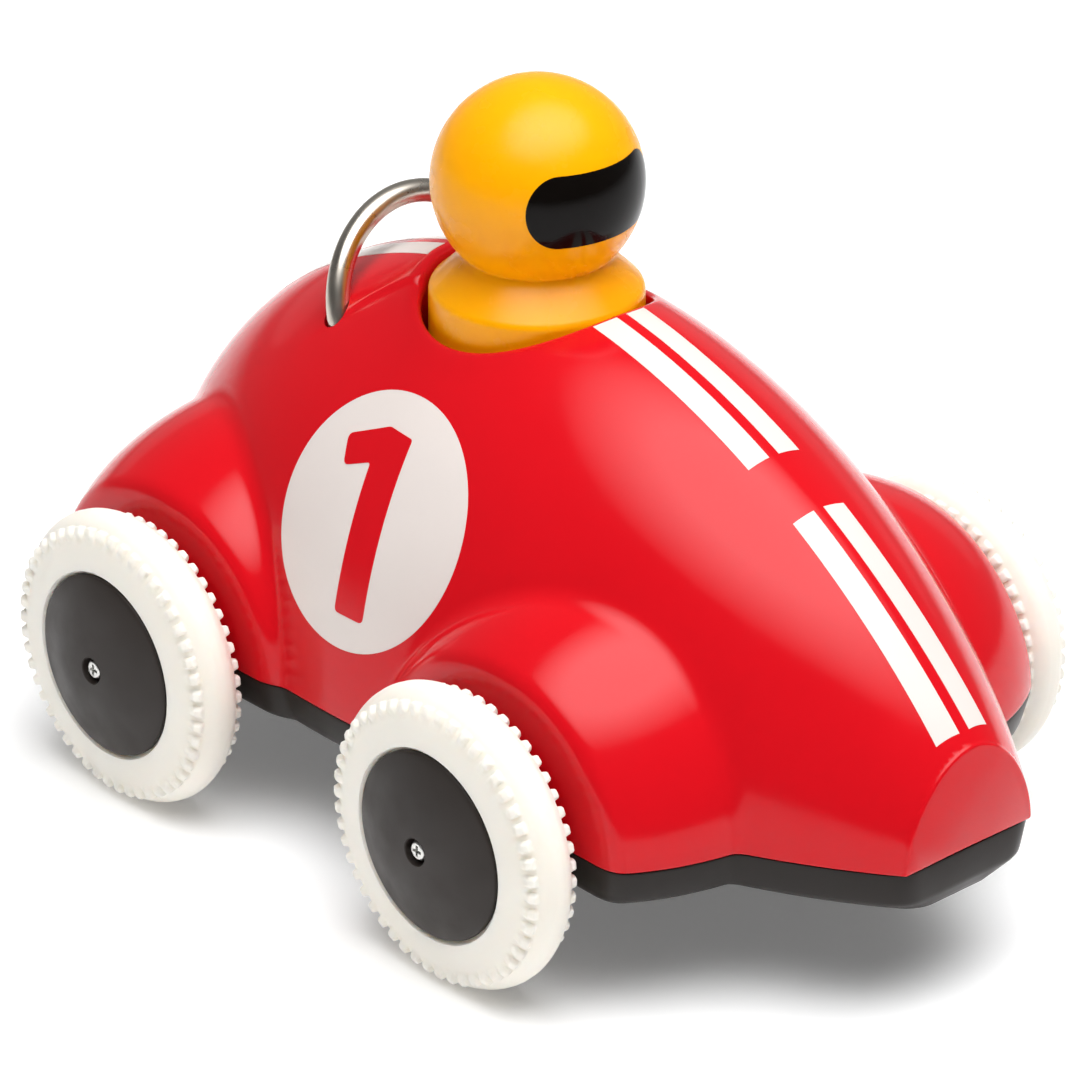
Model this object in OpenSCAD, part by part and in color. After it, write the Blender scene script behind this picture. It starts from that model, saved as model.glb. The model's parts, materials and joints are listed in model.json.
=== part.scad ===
// Push-and-go racing car: a moulded shell on a tub chassis, four wheels on two steel
// axles, and a driver that is pressed down to turn the rear wheels through a gearbox.
// Millimetres, +X towards the nose, +Y to the car's left, +Z up.
// The origin is on the ground, under the middle of the car's length and width.

/* [Body] */
// Distance between the two axles
wheelbase = 65; // [64:0.5:66]
// From the middle of the wheelbase forward to the flat of the nose
nose_len = 79.7; // [78:0.1:81]
// From the middle of the wheelbase back to the tip of the tail
tail_len = 67; // [66:0.5:69]
// Height of the joint between the shell and the chassis
parting_z = 21.8; // [21.6:0.1:22.2]
// Height of the chassis underside above the ground
belly_z = 14.5; // [14:0.1:14.5]
// Width of the egg-shaped hull at the parting line
hull_w = 73.8; // [72:0.2:75]
// Height of the hull above the parting line
hull_h = 52.7; // [52:0.1:54]
// Width across the flat outer faces of the fenders
fender_w = 76; // [75:0.5:77]
// Wall thickness of the moulded shell
wall = 2.4; // [2:0.1:2.8]

/* [Wheels] */
// Outer diameter of a tyre at its crown
tyre_d = 41; // [40:0.5:42]
// Width of a tyre
tyre_w = 8.8; // [8:0.2:9.2]
// Diameter of the black hub that shows in the middle of a wheel
hub_d = 25.4; // [24:0.2:26]
// Width from the middle plane of one tyre to that of the other
track = 88.8; // [88:0.2:90]
// Number of tread knobs in each of the two rings on a tyre
knob_count = 50; // [40:2:60]
// Diameter of the two steel axles
axle_d = 3; // [2.8:0.1:3.2]

/* [Driver] */
// Diameter of the driver's round head
head_d = 28; // [27:0.5:28.5]
// Height of the middle of the head when the driver is up
head_z = 86.8; // [86:0.1:88]
// Diameter of the skirt that slides in the cockpit well
skirt_d = 28.4; // [28:0.1:28.6]
// Diameter of the cockpit well
well_d = 30.1; // [29.8:0.1:30.4]
// How far the driver presses down
press_travel = 10; // [8:0.5:10]

/* [Roll bar] */
// Diameter of the bent wire
bar_d = 3.2; // [3:0.1:3.4]
// Radius of the bend, to the middle of the wire
bar_bend_r = 14.8; // [14.4:0.1:15]
// How far the bar leans back from upright, in degrees
bar_lean = 19; // [17:1:21]

/* [Gears] */
// Module of every gear and of the rack
gear_m = 0.8; // [0.8:0.1:0.8]
// Teeth of the pinion that the rack turns
rack_pinion_n = 10; // [10:1:10]
// Teeth of the clutch gear on the same shaft
clutch_n = 32; // [32:1:32]
// Teeth of the small gear of the compound gear
compound_small_n = 10; // [10:1:10]
// Teeth of the large gear of the compound gear
compound_large_n = 20; // [20:1:20]
// Teeth of the gear on the rear axle
axle_gear_n = 10; // [10:1:10]
// Teeth of the flywheel's pinion
flywheel_n = 8; // [8:1:8]

/* [Hidden] */

$fn = 48;
eps = 0.01;              // overlap of a cutter past the face that it cuts
running = 0.05;          // radial clearance of a shaft that turns in a bore
mid_x = (tail_len - nose_len) / 2;   // middle of the wheelbase
tyre_r = tyre_d / 2;
hub_r = hub_d / 2;
axle_r = axle_d / 2;
axle_z = tyre_r;         // the axles are as high as a tyre's radius
front_x = wheelbase / 2;
rear_x = -wheelbase / 2;
face_y = fender_w / 2;

// ---- Outer skin -----------------------------------------------------------------
// A gauge is below 1 inside a body, 1 on its skin and above 1 outside.
hull_nose = 89.9;        // where the hull would end if the nose were not cut flat
round_y = 1.9;           // exponents of the hull's rounded cross-section
round_z = 1.7;
fender_len = 29.9;       // half lengths of the bulge that makes a fender
fender_reach = 48.6;
fender_h = 28;
fender_front_x = 32.8;
fender_rear_x = -33.8;
blend_r = 1.2;           // fillet between a fender and the hull
edge_r = 1.7;            // rounding of the edge round a fender's flat face

function hull_half_w(x) = hull_w / 2 * (x >= 0
    ? pow(max(0, 1 - pow(x / hull_nose, 2)), 0.777)
    : pow(max(0, 1 - pow(-x / tail_len, 2.3)), 0.576));
function hull_top(x) = hull_h * (x >= 0
    ? pow(max(0, 1 - pow(x / hull_nose, 1.9)), 0.83)
    : pow(max(0, 1 - pow(-x / tail_len, 2)), 0.55));
function hull_gauge(x, y, h) =
    let (w = hull_half_w(x), t = hull_top(x))
    min(w, t) < 0.5 ? 9 : pow(pow(abs(y) / w, round_y) + pow(h / t, round_z), 0.55);
function fender_gauge(x, y, h) = sqrt(pow(abs(x) / fender_len, 2)
    + pow(abs(y) / fender_reach, 3.2) + pow(h / fender_h, 1.77));
function smooth_min(a, b, r) =
    let (h = max(r - abs(a - b), 0) / r) min(a, b) - h * h * r / 4;
function smooth_max(a, b, r) = -smooth_min(-a, -b, r);
// Rough distance to the skin; x, y and h are measured from the middle of the parting plane
function skin(x, y, h) = smooth_min(
    (hull_gauge(x, y, h) - 1) * 30,
    smooth_max(
        (min(fender_gauge(x - fender_front_x, y, h),
             fender_gauge(x - fender_rear_x, y, h)) - 1) * 25,
        abs(y) - face_y, edge_r),
    blend_r);
// Distance to the skin along the ray at an azimuth and an elevation, by halving
function skin_r(az, el, low = 15, high = 100, steps = 20) =
    steps == 0 ? (low + high) / 2
    : let (r = (low + high) / 2)
      skin(r * cos(el) * cos(az), r * cos(el) * sin(az), r * sin(el)) < 0
        ? skin_r(az, el, r, high, steps - 1)
        : skin_r(az, el, low, r, steps - 1);

// A closed solid from rings of points, with a point below the first and above the last
module ringed(rings, bottom, top) {
    n = len(rings[0]);
    m = len(rings);
    points = concat([for (ring = rings) each ring], [bottom, top]);
    faces = concat(
        [for (i = [0 : n - 1]) [m * n, i, (i + 1) % n]],
        [for (j = [0 : m - 2], i = [0 : n - 1]) each [
            [j * n + i, (j + 1) * n + i, (j + 1) * n + (i + 1) % n],
            [j * n + i, (j + 1) * n + (i + 1) % n, j * n + (i + 1) % n]]],
        [for (i = [0 : n - 1]) [m * n + 1, (m - 1) * n + (i + 1) % n, (m - 1) * n + i]]);
    polyhedron(points, faces, convexity = 4);
}

// The volume under the skin, shrunk along each ray; flat_x is where the nose is cut
module under_skin(shrink, flat_x, sides, levels) {
    step = 360 / sides;
    rings = [for (j = [0 : levels - 1]) let (el = 90 * j / levels)
        [for (i = [0 : sides - 1]) let (
            az = i * step,
            reach = flat_x / max(eps, cos(az) * cos(el)),
            r = min(skin_r(az, el) - shrink, reach))
            [r * cos(el) * cos(az), r * cos(el) * sin(az), r * sin(el)]]];
    translate([0, 0, parting_z])
        ringed(rings, [0, 0, 0], [0, 0, skin_r(0, 90) - shrink]);
}

// The outline of the car at the parting line, drawn in by inset and at the nose by
// nose_inset; turn is a share of a step
function plan_outline(inset, nose_inset, turn = 0, sides = 120) =
    [for (i = [0 : sides - 1]) let (
        az = (i + turn) * 360 / sides,
        r = min(skin_r(az, 0) - inset, (nose_len - nose_inset) / max(eps, cos(az))))
        [r * cos(az), r * sin(az)]];

// ---- Places of the parts inside ---------------------------------------------------
driver_x = -1;           // axis of the driver and the well
well_floor_z = 50;
spring_bore_r = 7;       // narrow part of the well, round the return spring
spring_z = 40;           // floor that the spring stands on
floor_z = belly_z + 1.8; // top of the chassis floor
stem_x = 6;              // section of the plunger's stem
stem_y = 7;
stem_bottom_z = 27.5;
stem_gap = 0.3;          // between the stem and the slot round it
rack_x = driver_x - 3.6; // pitch line of the rack

// Gear shafts as [x, z]
function pitch_r(n) = gear_m * n / 2;
input_p = [rack_x - pitch_r(rack_pinion_n), 31.5];
axle_p = [rear_x, axle_z];
compound_reach = pitch_r(clutch_n + compound_small_n);
compound_drop = pitch_r(compound_large_n + axle_gear_n);
input_to_axle = norm(axle_p - input_p);
along = (pow(compound_reach, 2) - pow(compound_drop, 2) + pow(input_to_axle, 2))
    / (2 * input_to_axle);
aside = sqrt(pow(compound_reach, 2) - pow(along, 2));
to_axle = (axle_p - input_p) / input_to_axle;
compound_p = input_p + to_axle * along + [to_axle[1], -to_axle[0]] * aside;
flywheel_reach = pitch_r(compound_large_n + flywheel_n);
flywheel_lean = 105;     // direction from the compound gear up to the flywheel
flywheel_p = compound_p + flywheel_reach * [cos(flywheel_lean), sin(flywheel_lean)];
flywheel_r = 9.5;

function bearing(p, q) = atan2(q[1] - p[1], q[0] - p[0]);
// Phase of a gear so that its gaps take the teeth of the gear that it meshes with
function meshed(n1, phase1, n2, angle) =
    angle + 180 + ((angle - phase1) / (360 / n1) + 0.5) * 360 / n2;
compound_phase = meshed(clutch_n, 0, compound_small_n, bearing(input_p, compound_p));
axle_gear_phase = meshed(compound_large_n, 0, axle_gear_n, bearing(compound_p, axle_p));
flywheel_phase = meshed(compound_large_n, 0, flywheel_n, bearing(compound_p, flywheel_p));

// Planes across the gearbox, from right to left
right_plate_y = [-12.2, -10.6];
clutch_y = [9, 12];
final_y = [12.6, 15.1];
left_plate_y = [16.2, 17.8];
plate_t = 1.6;
posts = [[-16.5, 45.2], [-40, 36], [6, 24], [-42, 22.5]];
post_r = 2;
input_shaft_r = 1.25;
small_shaft_r = 1;

// Gearbox feet as [x, y of the screw], and screws that hold the shell to the chassis
left_feet = [[-22, 22.5], [-2, 22.5]];
right_feet = [[-22, -16.5], [-2, -16.5]];
foot_spots = concat(left_feet, right_feet);
foot_boss_z = 19.3;
foot_boss_r = 2.6;
small_screw_r = 0.85;    // screws of the gearbox
small_hole_r = 1.2;      // clearance holes for them
shell_screws = [[66, 0], [-52, 0], [14, 25.5], [14, -25.5]];
shell_screw_r = 1.1;
shell_boss_r = 2.9;
bush_r = 2.5;
bush_len = 3.2;
bush_flange = 0.8;       // thickness of a bush's flange
bush_lip = 0.9;          // how far the flange stands out past the bush

// ---- Helpers ----------------------------------------------------------------------
module on_wheelbase() { translate([mid_x, 0, 0]) children(); }

// A rod, bore or disc along Y, between two planes
module across(p, r, y) {
    translate([p[0], y[1], p[1]]) rotate([90, 0, 0]) cylinder(r = r, h = y[1] - y[0]);
}

// A flat outline in X and Z, made solid between two planes across the car
module plate(y) {
    translate([0, y[1], 0]) rotate([90, 0, 0]) linear_extrude(y[1] - y[0]) children();
}

pressure = 25;
addendum = 0.75 * gear_m;
dedendum = 0.95 * gear_m;
backlash = 0.16;
function involute(a) = tan(a) * 180 / PI - a;
function tooth_half(n, r) =
    let (base = pitch_r(n) * cos(pressure), a = acos(min(1, base / r)))
    90 / n - backlash / 2 / pitch_r(n) * 180 / PI + involute(pressure) - involute(a);
function tooth_points(n, at) =
    let (
        root = pitch_r(n) - dedendum,
        tip = pitch_r(n) + addendum,
        start = max(root, pitch_r(n) * cos(pressure)),
        rs = [start, start + (tip - start) * 0.35, start + (tip - start) * 0.7, tip],
        up = [for (r = rs) [r, tooth_half(n, r)]],
        rise = concat([[root, tooth_half(n, start) + 0.4]], up))
    concat(
        [for (q = rise) q[0] * [cos(at - q[1]), sin(at - q[1])]],
        [for (i = [len(rise) - 1 : -1 : 0])
            rise[i][0] * [cos(at + rise[i][1]), sin(at + rise[i][1])]]);
module gear_outline(n, phase) {
    polygon([for (i = [0 : n - 1]) each tooth_points(n, phase + i * 360 / n)]);
}
module gear(p, n, phase, y) {
    plate(y) translate(p) gear_outline(n, phase);
}

// ---- Root body ----------------------------------------------------------------------
roof_z = parting_z + hull_h + 5;   // above every part of the shell
bar_foot = [-23.7, 64.2];          // where the middle of the wire meets the deck
bar_sink = 2.1;                    // how far the bend's centre lies below the deck
bar_leg = 12;                      // straight length of each leg below the bend
bar_relief = 0.35;                 // gap round the wire where it leaves the shell

module bar_frame() {
    translate([bar_foot[0], 0, bar_foot[1]]) rotate([0, -bar_lean, 0])
        translate([0, 0, -bar_sink]) children();
}
module bar_legs(r, low, high) {
    bar_frame() for (s = [-1, 1])
        translate([0, s * bar_bend_r, low]) cylinder(r = r, h = high - low);
}

module bar_bend(r, sides) {
    bar_frame() rotate([90, 0, 90]) rotate_extrude(angle = 180, $fn = 96)
        translate([bar_bend_r, 0]) circle(r = r, $fn = sides);
}

module cavity() {
    difference() {
        translate([0, 0, -eps]) under_skin(wall, nose_len - wall, 64, 12);
        translate([driver_x, 0, well_floor_z - 1.6])
            cylinder(d = well_d + 3.2, h = roof_z - well_floor_z);
        translate([driver_x, 0, spring_z - 2])
            cylinder(r = spring_bore_r + 1.4, h = roof_z - spring_z);
        for (s = shell_screws) translate([s[0], s[1], parting_z - 1])
            cylinder(r = shell_boss_r, h = roof_z - parting_z);
        bar_legs(bar_d / 2 + 1.6, -bar_leg, bar_sink + 4);
    }
}
module axle_holes() {
    for (x = [front_x, rear_x], s = [-1, 1])
        across([x, axle_z], bush_r, [s * face_y - 4, s * face_y + 4]);
}
// The slot that the plunger's stem and its rack teeth pass through
module stem_slot() {
    back = rack_x - rack_add - stem_gap;
    front = driver_x + stem_x / 2 + stem_gap;
    translate([back, -stem_y / 2 - stem_gap, spring_z - 4])
        cube([front - back, stem_y + 2 * stem_gap, 8]);
}
module body_shell() {
    color("crimson") on_wheelbase() difference() {
        intersection() {
            under_skin(0, hull_nose, 96, 18);
            translate([-tail_len - 1, -face_y - 1, parting_z])
                cube([tail_len + nose_len + 1, fender_w + 2, hull_h + 5]);
        }
        cavity();
        translate([driver_x, 0, well_floor_z]) cylinder(d = well_d, h = 40, $fn = 96);
        translate([driver_x, 0, spring_z]) cylinder(r = spring_bore_r, h = 20);
        stem_slot();
        for (s = shell_screws) translate([s[0], s[1], parting_z - 1])
            cylinder(r = shell_screw_r - 0.15, h = 10);
        bar_legs(bar_d / 2 + 0.05, -bar_leg - 0.5, eps);
        bar_bend(bar_d / 2 + bar_relief, 48);
        axle_holes();
    }
}

base_gap = 0.1;          // the chassis stands back from the shell's outline
base_wall = 2;
base_edge_z = 17;        // edge where the chassis's sides turn in under the car
base_slope = 6.9;        // how far in from the outline the flat underside begins
base_nose_share = 0.27;  // how much less the nose is drawn in than the sides
counterbore_r = 2.2;
module base_tub() {
    levels = [
        [base_slope, belly_z], [1.7, base_edge_z - 0.3], [1.15, base_edge_z + 0.05],
        [0.95, base_edge_z + 0.5], [0, parting_z]];
    rings = [for (l = levels)
        [for (p = plan_outline(base_gap + l[0], base_gap + l[0] * base_nose_share))
            [p[0], p[1], l[1]]]];
    ringed(rings, [0, 0, belly_z], [0, 0, parting_z]);
}
// The space inside the chassis, narrower below the edge, with room for the bush flanges
module base_pocket() {
    side = base_gap + base_wall;
    low_side = base_slope + 0.2;
    step_z = base_edge_z + 0.8;
    translate([0, 0, step_z]) linear_extrude(parting_z)
        polygon(plan_outline(side, side, 0.5));
    translate([0, 0, floor_z]) linear_extrude(step_z - floor_z + 0.5)
        polygon(plan_outline(low_side, base_wall + 2, 0.5));
    for (x = [front_x, rear_x], s = [-1, 1])
        across([x, axle_z], bush_r + bush_lip + 0.2, [s * (face_y - 3) - 1, s * (face_y - 3) + 1]);
}
module chassis_base() {
    color([0.12, 0.11, 0.11]) on_wheelbase() difference() {
        union() {
            difference() {
                base_tub();
                base_pocket();
            }
            for (s = shell_screws) translate([s[0], s[1], belly_z + eps])
                cylinder(r = shell_boss_r + 0.5, h = parting_z - belly_z - 2 * eps);
            for (s = foot_spots) translate([s[0], s[1], belly_z + eps])
                cylinder(r = foot_boss_r, h = foot_boss_z - belly_z - eps);
        }
        for (s = shell_screws) translate([s[0], s[1], belly_z - 1]) {
            cylinder(r = counterbore_r, h = 3.4);
            cylinder(r = shell_screw_r + 0.2, h = 20);
        }
        for (s = foot_spots) translate([s[0], s[1], floor_z])
            cylinder(r = small_screw_r, h = 10);
        across(axle_p, pitch_r(axle_gear_n) + addendum + 0.6, [final_y[0] - 0.8, final_y[1] + 0.8]);
        axle_holes();
    }
}

module roll_bar() {
    color("gainsboro") on_wheelbase() {
        bar_bend(bar_d / 2, 32);
        bar_legs(bar_d / 2, -bar_leg, 0, $fn = 32);
    }
}

// A cross-head screw, its shank along +Z from the head's underside
module screw(head_r, head_h, shank_r, shank_h) {
    difference() {
        translate([0, 0, -head_h]) cylinder(r = head_r, h = head_h, $fn = 32);
        for (a = [0, 90]) rotate(a) translate([-head_r * 0.55, -0.3, -head_h - eps])
            cube([head_r * 1.1, 0.6, 0.7]);
    }
    cylinder(r = shank_r, h = shank_h, $fn = 32);
}
module chassis_screws() {
    color("silver") on_wheelbase() for (s = shell_screws)
        translate([s[0], s[1], belly_z + 2.4]) screw(2, 1.5, shell_screw_r - 0.15, 12);
}

module plate_outline() {
    polygon([
        [-45, 20], [-45, 25], [-43, 39], [-38, 43], [-29, 45.5], [-19, 48], [-14, 48],
        [-5, 38], [9, 27], [9, 21], [-22, 20], [-28, 17.2], [-37, 17.2], [-42, 19.6]
    ]);
}
module shaft_bores(y) {
    cut = [y[0] - 1, y[1] + 1];
    across(input_p, input_shaft_r + running, cut);
    across(compound_p, small_shaft_r + running, cut);
    across(flywheel_p, small_shaft_r + running, cut);
    across(axle_p, axle_r + running, cut);
}
// A foot turned outwards from a side plate, onto a boss of the chassis
module foot(s, plate_y, outward) {
    y = outward > 0 ? [plate_y, s[1] + foot_boss_r] : [s[1] - foot_boss_r, plate_y];
    translate([s[0] - 3, y[0], foot_boss_z]) cube([6, y[1] - y[0], plate_t]);
    translate([s[0] - 3, plate_y - plate_t / 2, foot_boss_z]) cube([6, plate_t, 4]);
}
module foot_holes(spots) {
    for (s = spots) translate([s[0], s[1], foot_boss_z - 1])
        cylinder(r = small_hole_r, h = plate_t + 2);
}
module gearbox_left() {
    color("white") on_wheelbase() difference() {
        union() {
            plate(left_plate_y) plate_outline();
            for (p = posts) across(p, post_r, [right_plate_y[1], left_plate_y[0] + eps]);
            for (s = left_feet) foot(s, left_plate_y[0] + plate_t / 2, 1);
        }
        shaft_bores(left_plate_y);
        for (p = posts) across(p, small_screw_r, [right_plate_y[1] - 1, right_plate_y[1] + 9]);
        foot_holes(left_feet);
    }
}
module gearbox_right() {
    color("white") on_wheelbase() difference() {
        union() {
            plate(right_plate_y) plate_outline();
            for (s = right_feet) foot(s, right_plate_y[0] + plate_t / 2, -1);
        }
        shaft_bores(right_plate_y);
        for (p = posts) across(p, small_hole_r, [right_plate_y[0] - 1, right_plate_y[1] + 1]);
        foot_holes(right_feet);
    }
}
module gearbox_screws() {
    color("silver") on_wheelbase() for (p = posts)
        translate([p[0], right_plate_y[0], p[1]]) rotate([-90, 0, 0]) screw(1.7, 1.1, small_screw_r, 8);
}
module gearbox_mount_screws() {
    color("silver") on_wheelbase() for (s = foot_spots)
        translate([s[0], s[1], foot_boss_z + plate_t]) rotate([180, 0, 0])
            screw(1.7, 1.1, small_screw_r, 4);
}

// A plastic sleeve that carries an axle in a side wall, with a flange inside the wall
module bush(x, side) {
    bore_r = axle_r + running;
    flange_r = bush_r + bush_lip;
    translate([x, side * (face_y - bush_len / 2), axle_z]) rotate([side * 90, 0, 0])
        rotate_extrude() polygon([
            [bore_r, -bush_len / 2], [bush_r, -bush_len / 2],
            [bush_r, bush_len / 2 - bush_flange], [flange_r, bush_len / 2 - bush_flange],
            [flange_r, bush_len / 2], [bore_r, bush_len / 2]]);
}
module front_bushes() {
    color("ivory") on_wheelbase() for (s = [-1, 1]) bush(front_x, s);
}
module rear_bushes() {
    color("ivory") on_wheelbase() for (s = [-1, 1]) bush(rear_x, s);
}

// ---- Driver ---------------------------------------------------------------------------
head_r = head_d / 2;
skirt_r = skirt_d / 2;
skirt_z = 63;            // underside of the skirt
neck_r = 9.8;
neck_z = head_z - sqrt(pow(head_r, 2) - pow(neck_r, 2));
peg_r = 4;
shoulder_z = 71.4;
module driver_figure() {
    color("orange") on_wheelbase() translate([driver_x, 0, 0]) difference() {
        union() {
            translate([0, 0, head_z]) sphere(r = head_r, $fn = 96);
            rotate_extrude($fn = 96) polygon(concat(
                [[0, skirt_z], [skirt_r - 0.6, skirt_z], [skirt_r, skirt_z + 0.6],
                 [skirt_r, shoulder_z]],
                [for (a = [15 : 15 : 45])
                    [skirt_r - 2.6 + 2.6 * cos(a), shoulder_z + 2.6 * sin(a)]],
                [[11.2, 75.1], [neck_r, neck_z], [0, neck_z + 1]]));
        }
        translate([0, 0, skirt_z - 1]) cylinder(r = 9, h = 3);
        translate([0, 0, skirt_z]) cylinder(r = peg_r, h = 13);
    }
}

flange_z = [61.5, 64.9];
rack_add = 0.6;
module rack_teeth() {
    pitch = PI * gear_m;
    half = pitch / 4 - backlash / 4;
    slope = tan(pressure);
    for (k = [-1 : 5]) let (z = input_p[1] + (k + 0.5) * pitch)
        translate([rack_x, z])
            polygon([[dedendum, -half - dedendum * slope], [dedendum, half + dedendum * slope],
                     [-rack_add, half - rack_add * slope], [-rack_add, -half + rack_add * slope]]);
}
module driver_plunger() {
    root_x = rack_x + dedendum - eps;
    front_face = driver_x + stem_x / 2;
    color("white") on_wheelbase() {
        translate([driver_x, 0, flange_z[0]])
            cylinder(r = 8.8, h = flange_z[1] - flange_z[0]);
        translate([driver_x, 0, flange_z[1] - eps]) cylinder(r = peg_r, h = 10);
        translate([root_x, -stem_y / 2, stem_bottom_z])
            cube([front_face - root_x, stem_y, flange_z[0] + eps - stem_bottom_z]);
        plate([-stem_y / 2, stem_y / 2]) intersection() {
            rack_teeth();
            translate([rack_x - 2, stem_bottom_z]) square([4, 18.5]);
        }
    }
}

// Compression spring: one tube swept along a helix whose end turns lie closed
spring_r = 5.9;
spring_wire_r = 0.5;
spring_turns = 8;
module return_spring() {
    sides = 8;
    per_turn = 24;
    steps = spring_turns * per_turn;
    low = spring_z + spring_wire_r + 0.05;
    high = flange_z[0] - spring_wire_r - 0.05;
    function lift(t) = let (u = max(0, min(1, (t - 1) / (spring_turns - 2)))) low + (high - low
        - 2.2 * spring_wire_r * 2) * u + 2.2 * spring_wire_r * (min(t, 1) + max(0, t - spring_turns + 1));
    rings = [for (i = [0 : steps]) let (t = i / per_turn, a = t * 360)
        [for (k = [0 : sides - 1]) let (b = k * 360 / sides,
            r = spring_r + spring_wire_r * cos(b))
            [r * cos(a), r * sin(a), lift(t) + spring_wire_r * sin(b)]]];
    color("silver") on_wheelbase() translate([driver_x, 0, 0])
        ringed(rings, [spring_r, 0, lift(0)],
            [spring_r * cos(spring_turns * 360), 0, lift(spring_turns)]);
}

// ---- Gear train -------------------------------------------------------------------------
module input_shaft() {
    color("silver") on_wheelbase()
        across(input_p, input_shaft_r, [right_plate_y[0] - 0.4, left_plate_y[1] + 0.4]);
}
module rack_pinion() {
    color("khaki") on_wheelbase() difference() {
        union() {
            gear(input_p, rack_pinion_n, 0, [-4.2, 4.2]);
            across(input_p, 2.4, [4.2 - eps, 8.2]);
        }
        across(input_p, input_shaft_r, [-6, 10]);
    }
}
// Three springy arms that catch the clutch gear's inner teeth in one direction only
ratchet_n = 18;
ratchet_tip_r = 8.1;
ratchet_root_r = 9.1;
ratchet_y = [clutch_y[0], clutch_y[0] + 1.5];
module ratchet_spider() {
    thick = [ratchet_y[0] + 0.15, ratchet_y[1] - 0.15];
    color("orange") on_wheelbase() difference() {
        union() {
            across(input_p, 3.2, thick);
            for (k = [0 : 2]) plate(thick) translate(input_p) rotate(k * 120) polygon([
                [0, 2.2], [0, 3.1], [5.6, 4.6], [7.6, 2.4], [7.5, 1.4], [5.9, 3.7]]);
        }
        across(input_p, input_shaft_r, [ratchet_y[0] - 1, ratchet_y[1] + 1]);
    }
}
module clutch_gear() {
    color("ivory") on_wheelbase() difference() {
        gear(input_p, clutch_n, 0, clutch_y);
        across(input_p, input_shaft_r + running, [clutch_y[0] - 1, clutch_y[1] + 1]);
        plate([ratchet_y[0] - 1, ratchet_y[1]]) translate(input_p)
            polygon([for (k = [0 : ratchet_n - 1]) let (a = k * 360 / ratchet_n) each [
                ratchet_tip_r * [cos(a), sin(a)], ratchet_root_r * [cos(a + 2), sin(a + 2)]]]);
    }
}
module compound_gear() {
    color("gold") on_wheelbase() difference() {
        union() {
            gear(compound_p, compound_small_n, compound_phase, [clutch_y[0] - 0.3, final_y[0] + eps]);
            gear(compound_p, compound_large_n, 0, final_y);
        }
        across(compound_p, small_shaft_r, [clutch_y[0] - 2, final_y[1] + 1]);
    }
}
module compound_shaft() {
    color("silver") on_wheelbase()
        across(compound_p, small_shaft_r, [right_plate_y[0] - 0.4, left_plate_y[1] + 0.4]);
}
module flywheel() {
    color("darkgray") on_wheelbase() difference() {
        across(flywheel_p, flywheel_r, [-7.6, -1.6]);
        across(flywheel_p, small_shaft_r, [-9, 0]);
        across(flywheel_p, flywheel_r - 2, [-8, -6.8]);
    }
}
module flywheel_shaft() {
    color("gold") on_wheelbase() {
        across(flywheel_p, small_shaft_r, [right_plate_y[0] - 0.4, left_plate_y[1] + 0.4]);
        gear(flywheel_p, flywheel_n, flywheel_phase, [final_y[0] - 0.2, final_y[1] + 0.2]);
    }
}

// ---- Wheels and axles ----------------------------------------------------------------------
wheel_y = track / 2;
hub_out = 4.5;           // from the tyre's middle plane out to the hub's rim
hub_rim = 0.9;           // thickness of the rim that covers the tyre's edge
dome_h = 2.1;            // height of the hub's dome over its rim
hub_in = 4;              // from the tyre's middle plane in to the hub's back
rim_r = 12.2;            // seat of the tyre on the hub
recess_r = 1.8;
axle_half = wheel_y + 2; // the axle ends inside the hub
knob_h = 0.8;

// Places a wheel part: its own +Z becomes outboard on the chosen side
module wheel_frame(x, side) {
    translate([x, side * wheel_y, axle_z]) rotate([-side * 90, 0, 0]) children();
}
module hub(x, side) {
    color([0.12, 0.11, 0.11]) on_wheelbase() wheel_frame(x, side) difference() {
        rotate_extrude($fn = 96) polygon(concat(
            [[0, -hub_in], [rim_r - 0.5, -hub_in], [rim_r, -hub_in + 0.5],
             [rim_r, hub_out - hub_rim], [hub_r, hub_out - hub_rim], [hub_r, hub_out - 0.3]],
            [for (i = [0 : 8]) let (u = 1 - i / 8)
                [(hub_r - 0.35) * u, hub_out + dome_h * (1 - pow(u, 2.2))]]));
        translate([0, 0, -hub_in - 1]) cylinder(r = axle_r, h = hub_in + 3);
        translate([0, 0, 1]) cylinder(r = 1, h = 6);
        translate([0, 0, hub_out + dome_h - 1.6]) cylinder(r = recess_r, h = 3);
    }
}
module tyre_profile() {
    half = tyre_w / 2;
    bead = hub_out - hub_rim - 0.05;
    mid_r = tyre_r - (tyre_r - rim_r) * 0.86;
    polygon(concat(
        [[rim_r, -bead], [hub_r + 0.1, -bead]],
        [for (a = [-80 : 10 : 80]) [mid_r + (tyre_r - mid_r) * cos(a), half * sin(a)]],
        [[hub_r + 0.1, bead], [rim_r, bead]]));
}
// One ring of blocks on a shoulder of the tyre
module knob_ring(side) {
    half = tyre_w / 2;
    knob_r = 17.6;
    pitch = 360 / knob_count;
    intersection() {
        rotate_extrude($fn = 96) polygon([
            [knob_r, side * (half * 0.4)], [knob_r + 2.1, side * (half * 0.4)],
            [knob_r + 1.9, side * (half * 0.72 + 0.3)],
            [knob_r - 0.1, side * (half * 0.84 + 0.7)]]);
        translate([0, 0, -half - 2]) linear_extrude(tyre_w + 4)
            polygon([for (i = [0 : knob_count - 1]) each [
                for (q = [[5, -0.45], [tyre_r + 2, -0.27], [tyre_r + 2, 0.27], [5, 0.45]])
                    q[0] * [cos((i + q[1]) * pitch), sin((i + q[1]) * pitch)]]]);
    }
}
module tyre(x, side) {
    color("floralwhite") on_wheelbase() wheel_frame(x, side) {
        rotate_extrude($fn = 96) tyre_profile();
        for (s = [-1, 1]) knob_ring(s);
    }
}
module hub_screw(x, side) {
    color("silver") on_wheelbase() wheel_frame(x, side)
        translate([0, 0, hub_out + dome_h - 1.6]) rotate([180, 0, 0])
            screw(1.5, 1.2, 0.95, 6);
}
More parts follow.
